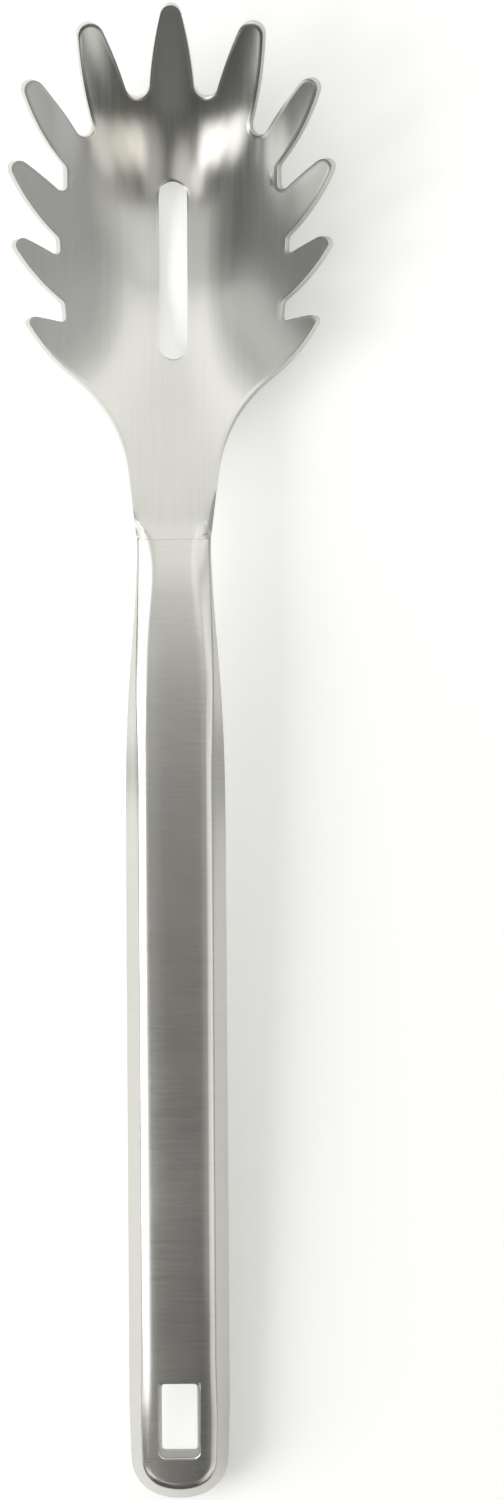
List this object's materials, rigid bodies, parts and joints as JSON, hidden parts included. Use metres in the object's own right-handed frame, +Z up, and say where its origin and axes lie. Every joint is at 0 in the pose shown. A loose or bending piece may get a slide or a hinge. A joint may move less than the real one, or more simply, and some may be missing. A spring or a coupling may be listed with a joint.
{
  "type": "pasta server",
  "caption": "Steel pasta server with a shallow slotted bowl, a fringe of upswept tines and a long hollow handle with a hanging hole.",
  "frame": {"origin": "on the table plane, under the middle of the length, in the plane of symmetry", "axes": "+Y from the handle to the tip of the head, +Z up with the bowl open upwards, X across"},
  "size_m": [0.072, 0.33, 0.0237],
  "materials": {
    "head_steel": "polished with fine cross brushing",
    "handle_steel": "satin, brushed across the handle"
  },
  "bodies": {
    "root": {"server_head": "head_steel", "handle_top_shell": "handle_steel", "handle_bottom_shell": "handle_steel"}
  },
  "joints": []
}
